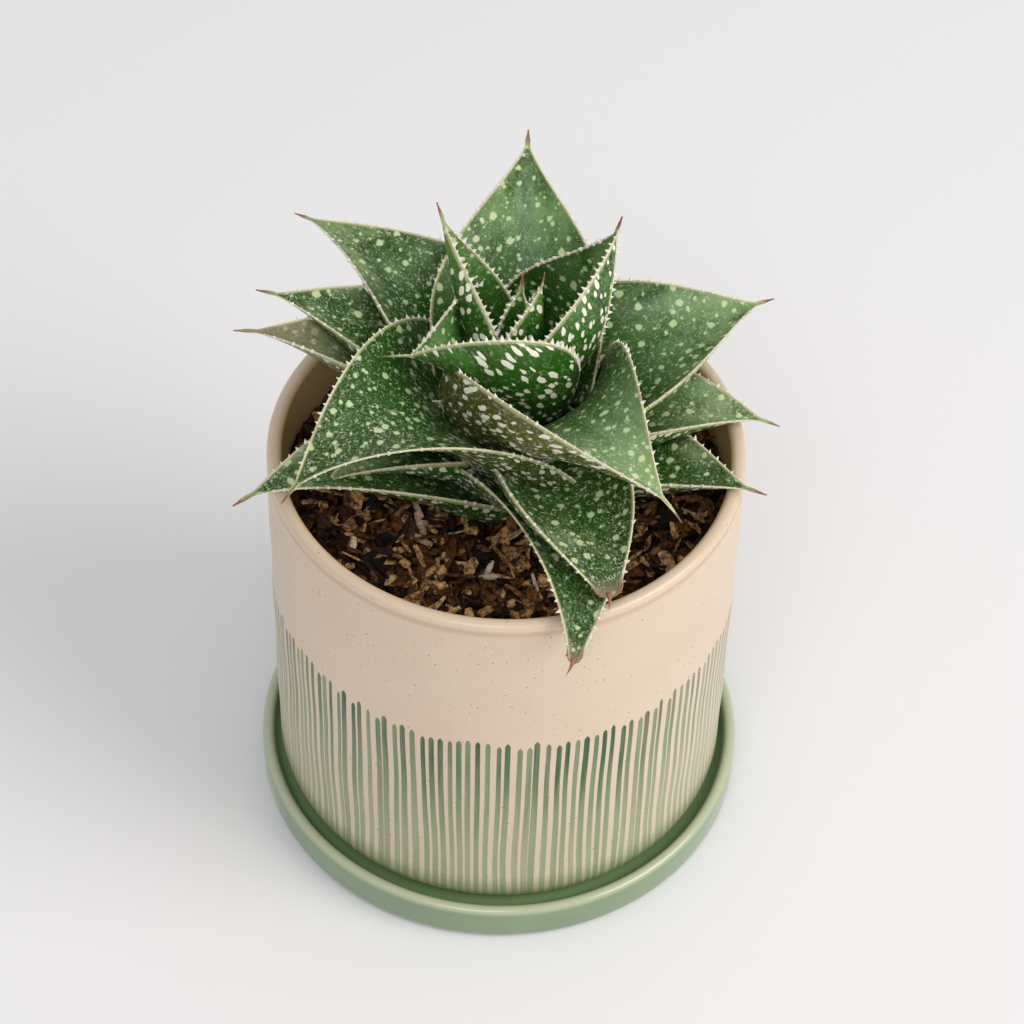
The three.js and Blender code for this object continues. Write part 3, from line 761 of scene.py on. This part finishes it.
def laid_leaf(made):
    """A finished leaf as the later ones meet it: its upper face to search, its normals and depth."""
    rows, columns = made["upper"].shape[:2]
    starts = [row * columns + k for row in range(rows - 1) for k in range(columns - 1)]
    faces = [(a, a + 1, a + columns + 1, a + columns) for a in starts]
    face_tree = BVHTree.FromPolygons(made["upper"].reshape(-1, 3).tolist(), faces)
    return face_tree, columns - 1, made["out"], np.linalg.norm(made["upper"] - made["lower"], axis=2)


def tuck_under(made, laid):
    """Presses down whatever part of a leaf would come up through a leaf nearer the heart."""
    upper, lower = made["upper"], made["lower"]
    ease = np.clip((made["b"] - TUCK_FREE) / TUCK_FADE, 0, 1)
    for face_tree, across, out, deep in laid:
        for row, k in zip(*np.nonzero(ease)):
            spot, _, face, _ = face_tree.find_nearest(upper[row, k], TUCK_REACH)
            if spot is None:
                continue
            facing = out[face // across, face % across]
            offset = upper[row, k] - np.array(spot)
            height = offset @ facing
            press = height + deep[face // across, face % across] + TUCK_GAP
            if press > 0 and np.linalg.norm(offset - height * facing) < TUCK_ASIDE:
                upper[row, k] -= ease[row, k] * press * facing
                lower[row, k] -= ease[row, k] * press * facing


def tube_faces(rows, around):
    """The faces of a closed tube: its wall and a cap at either end."""
    faces = []
    for row in range(rows - 1):
        for k in range(around):
            a = row * around + k
            b = row * around + (k + 1) % around
            faces.append((a, a + around, b + around, b))
    end = rows * around
    return faces + [tuple(range(around)), tuple(range(end - 1, end - around - 1, -1))]


def leaf_object(leaf, number, laid, material):
    rows = max(FEWEST_ROWS, int(leaf["length"] * ROWS_PER_MM))
    made = leaf_points(leaf, number, rows)
    if number in TUCKED:
        tuck_under(made, laid)
    laid.append(laid_leaf(made))
    columns = 2 * HALF_COLUMNS + 1
    ring = np.concatenate([made["upper"], made["lower"][:, -2:0:-1]], 1)
    order = np.concatenate([np.arange(columns), np.arange(columns - 2, 0, -1)])
    points = ring.reshape(-1, 3) * MM
    faces = tube_faces(rows, len(order))
    blade = mesh_object(f"blade_{number:02d}", points.tolist(), faces, material, smooth=True)
    under = np.concatenate([np.zeros(columns), np.ones(columns - 2)])
    across = made["a"][:, order]
    along = made["b"][:, order]
    place = [across + SHEET_WIDTH * number, along + SHEET_LENGTH * under[None], 0 * across]
    mark(blade, "place", np.stack(place, -1), "FLOAT_VECTOR")
    edge = (1 - np.abs(made["u"][order]))[None] * made["half"][:, None]
    keel = np.abs(made["u"][order] - KEEL_AT)[None] * made["half"][:, None] + OFF_KEEL * (1 - under)[None]
    to_tip = leaf["length"] - along + BLUNT_GREEN * (leaf["blunt"] > 0)
    values_of = {"edge": edge, "keel": keel, "to_tip": to_tip, "from_seat": along,
                 "under": under[None] + 0 * across}
    for name in ("young", "olive", "bloom", "dry", "keeled"):
        values_of[name] = leaf[name] + 0 * across
    for name, values in values_of.items():
        mark(blade, name, values)
    return blade, made


def spots(tree, where, scale, sizes, kept, soft):
    """Where spots lie, at most one to a cell: their least and greatest size, the share of the cells
    that have one, and how soft their edge is."""
    cells = add(tree, "ShaderNodeTexVoronoi", {"Vector": where, "Scale": scale, "Randomness": 0.85},
                voronoi_dimensions="2D")
    draw = add(tree, "ShaderNodeSeparateColor", {0: cells.outputs["Color"]}).outputs
    size = add(tree, "ShaderNodeMapRange", (draw[0], 0.0, 1.0, *sizes), **EASED)
    inside = add(tree, "ShaderNodeMath", (size, cells.outputs["Distance"]), operation="SUBTRACT")
    spot = add(tree, "ShaderNodeMapRange", (inside, -soft, soft), **EASED)
    shown = add(tree, "ShaderNodeMath", (draw[1], kept), operation="LESS_THAN")
    return add(tree, "ShaderNodeMath", (spot, shown), operation="MULTIPLY")


# Leaf skin: waxy dark green, blue-grey with bloom above; clustered pale spots above and raised
# white ovals beneath; short silvery scratches and flecks all over; brown where it has dried
def leaf_skin():
    material, tree, shader = start_material(
        "haworthia leaf skin", {"IOR": 1.38, "Subsurface Weight": 0.06, "Subsurface Scale": 1.5 * MM,
                                "Subsurface Radius": (0.5, 1.0, 0.3)})
    place = add(tree, "ShaderNodeAttribute", attribute_name="place").outputs["Vector"]
    under, young, olive, bloom, dry, edge, to_tip, from_seat, keel, keeled = (
        add(tree, "ShaderNodeAttribute", attribute_name=name).outputs["Fac"]
        for name in ("under", "young", "olive", "bloom", "dry", "edge", "to_tip", "from_seat",
                     "keel", "keeled"))

    # blotches of 7 by 16 mm; the cells of the skin are too fine to show, so its grain is 0.8 mm
    drawn_out = add(tree, "ShaderNodeVectorMath", (place, (1.5, 0.7, 1.0)), operation="MULTIPLY")
    blotch = add(tree, "ShaderNodeTexNoise", {
        "Vector": drawn_out, "Scale": 0.09, "Detail": 5.0, "Roughness": 0.62})
    grain = add(tree, "ShaderNodeTexNoise", {
        "Vector": place, "Scale": 1.3, "Detail": 3.0, "Roughness": 0.6})

    # the green, by face and by age
    bloomed = add(tree, "ShaderNodeMath", (bloom, 0.5), operation="SUBTRACT")
    bloomed = add(tree, "ShaderNodeMath", (bloomed, 0.36), operation="MULTIPLY")
    greyed = add(tree, "ShaderNodeMath", (blotch, bloomed), operation="ADD")
    old_above = add(tree, "ShaderNodeMapRange", (greyed, 0.38, 0.64), **EASED)
    young_above = add(tree, "ShaderNodeMapRange", (greyed, 0.4, 0.62), **EASED)
    old_below = add(tree, "ShaderNodeMapRange", (blotch, 0.34, 0.64), **EASED)
    young_below = add(tree, "ShaderNodeMapRange", (blotch, 0.4, 0.62), **EASED)
    upper = add(tree, "ShaderNodeMix", {0: old_above, 6: "#1d4208", 7: "#829a69"}, **COLOURS)
    tender = add(tree, "ShaderNodeMix", {0: young_above, 6: "#2a6208", 7: "#5c9648"}, **COLOURS)
    lower = add(tree, "ShaderNodeMix", {0: old_below, 6: "#1c3c06", 7: "#5a7a34"}, **COLOURS)
    fresh = add(tree, "ShaderNodeMix", {0: young_below, 6: "#124401", 7: "#34720c"}, **COLOURS)
    sunned = add(tree, "ShaderNodeMix", {0: young_below, 6: "#4a4010", 7: "#857d42"}, **COLOURS)
    upper = coated(tree, upper, (young, tender, 0.75))
    lower = coated(tree, lower, (young, fresh, 0.9), (olive, sunned, 0.8))
    grainy = add(tree, "ShaderNodeMapRange", (grain, 0.35, 0.75), **EASED)

    # toward the seat the green is painted deep and even: painted shade, where little light comes
    whole = add(tree, "ShaderNodeMath", (to_tip, from_seat), operation="ADD")
    from_tip = add(tree, "ShaderNodeMath", (to_tip, whole), operation="DIVIDE")
    shaded = add(tree, "ShaderNodeMapRange", (from_tip, 0.2, 0.64, 0.0, 0.85), **EASED)
    olive_below = add(tree, "ShaderNodeMath", (olive, under), operation="MULTIPLY")
    seat_shade_colour = add(tree, "ShaderNodeMix", {0: olive_below, 6: "#245408", 7: "#4d4616"}, **COLOURS)
    skin = coated(
        tree, upper, (under, lower), (grainy, "#8ea765", 0.34), (shaded, seat_shade_colour))

    # scratches 1.3 mm apart run along the level lines of a slow noise, broken up by another
    level = add(tree, "ShaderNodeTexNoise", {"Vector": place, "Scale": 0.75, "Detail": 1.0})
    level = add(tree, "ShaderNodeMath", (level, 0.5), operation="SUBTRACT")
    level = add(tree, "ShaderNodeMath", (level,), operation="ABSOLUTE")
    scratches = add(tree, "ShaderNodeMapRange", (level, 0.032, 0.01), **EASED)
    squat = add(tree, "ShaderNodeVectorMath", (place, (1.0, 0.8, 1.0)), operation="MULTIPLY")
    broken = add(tree, "ShaderNodeTexNoise", {"Vector": squat, "Scale": 0.8, "Detail": 1.0})
    broken = add(tree, "ShaderNodeMapRange", (broken, 0.48, 0.56), **EASED)
    scratches = add(tree, "ShaderNodeMath", (scratches, broken), operation="MULTIPLY")
    scratches = add(tree, "ShaderNodeMath", (scratches, 0.8), operation="MULTIPLY")

    # flecks fill in between them, at most one to 1 by 1.7 mm; both thin out in patches of 20 mm,
    # and on young leaves
    narrow = add(tree, "ShaderNodeVectorMath", (place, (1.3, 0.8, 1.0)), operation="MULTIPLY")
    flecks = spots(tree, narrow, 0.75, (0.05, 0.2), 0.6, 0.07)
    flecks = add(tree, "ShaderNodeMath", (flecks, 0.5), operation="MULTIPLY")
    patchy = add(tree, "ShaderNodeTexNoise", {"Vector": place, "Scale": 0.05})
    patchy = add(tree, "ShaderNodeMapRange", (patchy, 0.4, 0.6, 0.7, 1.0), **EASED)
    aged = add(tree, "ShaderNodeMath", (young, 0.7), operation="MULTIPLY")
    aged = add(tree, "ShaderNodeMath", (1.0, aged), operation="SUBTRACT")
    patchy = add(tree, "ShaderNodeMath", (patchy, aged), operation="MULTIPLY")
    silver = add(tree, "ShaderNodeMath", (scratches, flecks), operation="MAXIMUM")
    silver = add(tree, "ShaderNodeMath", (silver, patchy), operation="MULTIPLY")

    # spots: soft ones above, at most one to 4.2 mm and 2.4 mm, which run together in places, and
    # firm ovals along the leaf beneath, one to 1.7 by 3 mm
    wander = add(tree, "ShaderNodeTexNoise", {"Vector": place, "Scale": 0.8, "Detail": 1.0})
    wander = add(tree, "ShaderNodeVectorMath", (wander.outputs["Color"], (0.9, 0.9, 0.0)),
                 operation="MULTIPLY")
    wandered = add(tree, "ShaderNodeVectorMath", (place, wander), operation="ADD")
    large = spots(tree, wandered, 0.24, (0.08, 0.21), 0.75, 0.05)
    small = spots(tree, wandered, 0.42, (0.08, 0.24), 0.3, 0.08)
    above_spots = add(tree, "ShaderNodeMath", (large, small), operation="MAXIMUM")
    upward = add(tree, "ShaderNodeMath", (1.0, under), operation="SUBTRACT")
    above_spots = add(tree, "ShaderNodeMath", (above_spots, upward), operation="MULTIPLY")
    pale = add(tree, "ShaderNodeMix", {0: young, 6: "#cfdda8", 7: "#d6e6a8"}, **COLOURS)
    lengthwise = add(tree, "ShaderNodeVectorMath", (wandered, (1.1, 0.62, 1.0)), operation="MULTIPLY")
    ovals = spots(tree, lengthwise, 0.53, (0.16, 0.34), 0.78, 0.04)
    ovals = add(tree, "ShaderNodeMath", (ovals, under), operation="MULTIPLY")
    skin = coated(tree, skin, (silver, "#c8d2ba"), (above_spots, pale, 0.85), (ovals, "#efecd8"))

    # pale rim and keel, then the tip, which has dried over more of its length the drier the leaf
    # is; the three stages begin and are full so many mm from it, and their edge is ragged
    low_grain = add(tree, "ShaderNodeMath", (grain, 0.5), operation="MULTIPLY")
    rim = add(tree, "ShaderNodeMath", (edge, low_grain), operation="ADD")
    rim = add(tree, "ShaderNodeMapRange", (rim, 0.95, 0.45), **EASED)
    ridge = add(tree, "ShaderNodeMapRange", (keel, 0.7, 0.25), **EASED)
    ends = []
    for ragged, begins, full in ((1.5, 4.4, 2.4), (5.0, 11.0, 5.0), (12.0, 42.0, 16.0)):
        rough = add(tree, "ShaderNodeMath", (grain, ragged), operation="MULTIPLY")
        rough = add(tree, "ShaderNodeMath", (to_tip, rough), operation="ADD")
        ends.append(add(tree, "ShaderNodeMapRange", (rough, begins, full), **EASED))
    brown, parched, withered = ends
    very_dry = add(tree, "ShaderNodeMapRange", (dry, 0.8, 1.0, 0.0, 0.6), **EASED)
    skin = coated(
        tree, skin, (rim, "#bdbb8a", 0.7), (ridge, "#d9d6b0", keeled), (brown, "#96664c"),
        (parched, "#a48c78", dry), (withered, "#93826a", very_dry))

    gloss = add(tree, "ShaderNodeMapRange", (grain, 0.3, 0.8, 0.24, 0.4), **EASED)
    relief = add(tree, "ShaderNodeMath", (ovals, low_grain), operation="ADD")
    bump = add(tree, "ShaderNodeBump", {"Height": relief, "Strength": 0.35, "Distance": 0.25 * MM})
    feed(tree, shader, {"Base Color": skin, "Roughness": gloss, "Normal": bump})
    return material


# Horn: the cartilage of the margins, cream, tanned by age in places, with white teeth
def horn_margin():
    material, tree, shader = start_material(
        "horny leaf margin", {"Roughness": 0.5, "Subsurface Weight": 0.1, "Subsurface Scale": 0.8 * MM,
                              "Subsurface Radius": (1.0, 0.8, 0.5)})

    # tanned in patches of 6 mm; the teeth are paler, and the last 5 mm of a leaf brown
    where = add(tree, "ShaderNodeTexCoord").outputs["Object"]
    tooth = add(tree, "ShaderNodeAttribute", attribute_name="tooth").outputs["Fac"]
    to_tip = add(tree, "ShaderNodeAttribute", attribute_name="tip").outputs["Fac"]
    tanned = add(tree, "ShaderNodeTexNoise", {"Vector": where, "Scale": 160.0})
    tanned = add(tree, "ShaderNodeMapRange", (tanned, 0.5, 0.76), **EASED)
    brown = add(tree, "ShaderNodeMapRange", (to_tip, 5.0, 2.0), **EASED)
    horn = coated(tree, "#d8d3ac", (tanned, "#b99a80"), (tooth, "#ebe8d8"), (brown, "#96664c"))
    feed(tree, shader, {"Base Color": horn})
    return material


def toothed_margin_tree(material):
    """A bead along each line of the margin, with small forward-pointing teeth standing out of it."""
    tree = start_tree("toothed margin")
    ids = {
        "bead": group_input(tree, "Bead radius", "NodeSocketFloat", 0.3 * MM),
        "pitch": group_input(tree, "Tooth pitch", "NodeSocketFloat", 2.4 * MM),
        "length": group_input(tree, "Tooth length", "NodeSocketFloat", 1.1 * MM),
        "seed": group_input(tree, "Seed", "NodeSocketInt", 1),
    }
    start = add(tree, "NodeGroupInput").outputs
    line = add(tree, "GeometryNodeMeshToCurve", {"Mesh": start["Geometry"]})
    slim = add(tree, "GeometryNodeInputNamedAttribute", {"Name": "slim"}, data_type="FLOAT")
    outward = add(tree, "GeometryNodeInputNamedAttribute", {"Name": "outward"}, data_type="FLOAT_VECTOR")
    thin = add(tree, "ShaderNodeMath", (slim, start["Bead radius"]), operation="MULTIPLY")
    sized = add(tree, "GeometryNodeSetCurveRadius", {"Curve": line, "Radius": thin})
    circle = add(tree, "GeometryNodeCurvePrimitiveCircle", {"Resolution": 6, "Radius": 1.0})
    bead = add(tree, "GeometryNodeCurveToMesh", {
        "Curve": sized, "Profile Curve": circle, "Fill Caps": True})
    if "Scale" in bead.inputs:
        feed(tree, bead, {"Scale": thin})
    dotted = add(tree, "GeometryNodeResampleCurve", {"Curve": line, "Length": start["Tooth pitch"]},
                 mode="LENGTH")
    tooth = add(tree, "GeometryNodeMeshCone", {
        "Vertices": 6, "Radius Top": 0.02, "Radius Bottom": 0.46, "Depth": 1.0})
    forward = add(tree, "GeometryNodeInputTangent")
    lean = add(tree, "ShaderNodeVectorMath", {"Vector": forward, "Scale": 0.45}, operation="SCALE")
    stray = add(tree, "FunctionNodeRandomValue", {
        0: (-0.3, -0.3, -0.3), 1: (0.3, 0.3, 0.3), "Seed": start["Seed"]}, data_type="FLOAT_VECTOR")
    aim = add(tree, "ShaderNodeVectorMath", (outward, lean), operation="ADD")
    aim = add(tree, "ShaderNodeVectorMath", (aim, stray), operation="ADD")
    turned = add(tree, "FunctionNodeAlignRotationToVector", {"Vector": aim}, axis="Z")
    chance = add(tree, "FunctionNodeRandomValue", {2: 0.55, 3: 1.2, "Seed": start["Seed"]},
                 data_type="FLOAT")
    tall = add(tree, "ShaderNodeMath", (chance, start["Tooth length"]), operation="MULTIPLY")
    tall = add(tree, "ShaderNodeMath", (tall, slim), operation="MULTIPLY")
    placed = add(tree, "GeometryNodeInstanceOnPoints", {
        "Points": dotted, "Instance": tooth, "Rotation": turned, "Scale": tall})
    marked = add(tree, "GeometryNodeStoreNamedAttribute", {
        "Geometry": placed, "Name": "tooth", "Value": 1.0}, data_type="FLOAT", domain="INSTANCE")
    together = add(tree, "GeometryNodeJoinGeometry")
    for part in (bead, marked):
        feed(tree, together, {"Geometry": part})
    real = add(tree, "GeometryNodeRealizeInstances", {"Geometry": together})
    done = add(tree, "GeometryNodeSetMaterial", {"Geometry": real, "Material": material})
    add(tree, "NodeGroupOutput", {"Geometry": done})
    return tree, ids


def margin_lines(leaf, number, made):
    """The lines that the horny margin follows: both edges, and the keel of a keeled leaf."""
    slim = np.clip(made["half"] / FULL_MARGIN, 0.25, 1.0)
    t = made["t"]
    lines = []
    for column, sign in ((0, -1), (-1, 1)):
        middle = (made["upper"][:, column] + made["lower"][:, column]) / 2
        lines.append((middle, made["edge_out"][:, column] * sign, slim))
    if leaf["keeled"]:
        column = int(np.argmin(np.abs(made["u"] - KEEL_AT)))
        far = t > KEEL_BARE
        lines.append((made["lower"][far, column], -made["out"][far, column], 0.8 * slim[far]))
    points, edges, outward, thin, tips = [], [], [], [], []
    for line, away, size in lines:
        first = len(points)
        points += (line * MM).tolist()
        outward += away.tolist()
        thin += size.tolist()
        tips += (leaf["length"] * (1 - np.linspace(t[-len(line)], 1, len(line)))).tolist()
        edges += [(first + i, first + i + 1) for i in range(len(line) - 1)]
    drawn = mesh_object(f"margin_lines_{number:02d}", points, [], edges=edges)
    mark(drawn, "outward", outward, "FLOAT_VECTOR")
    mark(drawn, "slim", thin)
    mark(drawn, "tip", tips)
    return drawn


def dry_thorn(name, base, aim, material):
    """The hooked brown thorn left at the end of a leaf whose tip has died back."""
    stations = 7
    sides = 8
    aim = aim.normalized()
    side = aim.cross(Vector((0, 0, 1))).normalized()
    across = side.cross(aim)
    points = []
    for i in range(stations):
        share = i / (stations - 1)
        middle = base + aim * (THORN_LENGTH * share) + side * (0.25 * THORN_LENGTH * share ** 2)
        around = THORN_RADIUS * (1 - 0.92 * share)
        for k in range(sides):
            angle = 2 * math.pi * k / sides
            beside = middle + side * (around * math.cos(angle))
            points.append(beside + across * (around * math.sin(angle)))
    return mesh_object(name, points, tube_faces(stations, sides), material, smooth=True)


skin_finish = leaf_skin()
margin_horn = horn_margin()
toothed, toothed_ids = toothed_margin_tree(margin_horn)
laid = []
for number, row in enumerate(LEAVES, 1):
    leaf = {**LEAF_DEFAULTS, **row}
    blade, shape = leaf_object(leaf, number, laid, skin_finish)
    sizes = HEART_MARGIN if leaf["young"] > 0.8 else OUTER_MARGIN
    settings = {toothed_ids[what]: size * MM for what, size in sizes.items()}
    settings[toothed_ids["seed"]] = number
    margin = baked(margin_lines(leaf, number, shape), toothed, settings, f"margin_{number:02d}")
    grown = [blade, margin]
    if leaf["blunt"]:
        ahead = Vector(shape["along"][-1])
        base = Vector(shape["upper"][-1, 0]) * MM - ahead * THORN_ROOT
        grown.append(dry_thorn(f"thorn_{number:02d}", base, ahead, margin_horn))
    for piece in grown:
        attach(piece, "root")
        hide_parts(f"leaf_{number:02d}")

# Studio
# A sweep of pale matt paper under two soft round lights, a large one from the upper right and a
# weak one from above the front, and the photograph's camera.
SWEEP_REACH = 6.0

# Places and sizes in metres, powers in watts
LIGHT_AIM = (0, 0, 0.08)
KEY = {"place": (1.55, -0.6, 1.3), "size": 1.5, "power": 25.0, "tint": "#fffbf6"}
FILL = {"place": (-0.2, -1.05, 1.45), "size": 0.8, "power": 5.5, "tint": "#f8f8ff"}
ROOM_TINT = "#f2f3f5"
ROOM_BRIGHTNESS = 0.62

# The camera looks down by the pitch and is tipped by the roll, in radians; lens and sensor in mm
CAMERA_PLACE = Vector((1.654, -497.62, 646.83)) * MM
CAMERA_PITCH = 0.8428
CAMERA_ROLL = 0.0296
LENS = 112.5
SENSOR = 36.0


# Sweep: matt pale paper
def sweep_paper():
    return start_material("pale paper sweep", {"Base Color": "#f1f0f0", "Roughness": 0.9})[0]


def sweep():
    across = SWEEP_REACH
    corners = [(-across, -across, 0), (across, -across, 0), (across, across, 0), (-across, across, 0)]
    return mesh_object("sweep", corners, [(0, 1, 2, 3)], sweep_paper())


def softbox(name, place, size, power, tint):
    light = bpy.data.lights.new(name, "AREA")
    light.shape = "DISK"
    light.size = size
    light.energy = power
    light.color = linear(tint)[:3]
    made = bpy.data.objects.new(name, light)
    made.location = place
    made.rotation_euler = (Vector(LIGHT_AIM) - Vector(place)).to_track_quat("-Z", "Y").to_euler()
    bpy.context.scene.collection.objects.link(made)


def photograph_camera():
    lens = bpy.data.cameras.new("camera")
    lens.sensor_width = SENSOR
    lens.lens = LENS
    lens.clip_start = 0.01
    sin_pitch, cos_pitch = math.sin(CAMERA_PITCH), math.cos(CAMERA_PITCH)
    right = Vector((1, 0, 0))
    up = Vector((0, sin_pitch, cos_pitch))
    ahead = Vector((0, cos_pitch, -sin_pitch))
    sin_roll, cos_roll = math.sin(CAMERA_ROLL), math.cos(CAMERA_ROLL)
    across = cos_roll * right + sin_roll * up
    upright = -sin_roll * right + cos_roll * up
    made = bpy.data.objects.new("camera", lens)
    turned = Matrix((across, upright, -ahead)).transposed().to_4x4()
    made.matrix_world = Matrix.Translation(CAMERA_PLACE) @ turned
    bpy.context.scene.collection.objects.link(made)
    return made


floor = sweep()
softbox("key_softbox", **KEY)
softbox("fill_softbox", **FILL)
world = bpy.data.worlds.new("room")
world.use_nodes = True
feed(world.node_tree, world.node_tree.nodes["Background"], (ROOM_TINT, ROOM_BRIGHTNESS))
bpy.context.scene.world = world
bpy.context.scene.view_settings.view_transform = "Standard"
bpy.context.scene.camera = photograph_camera()
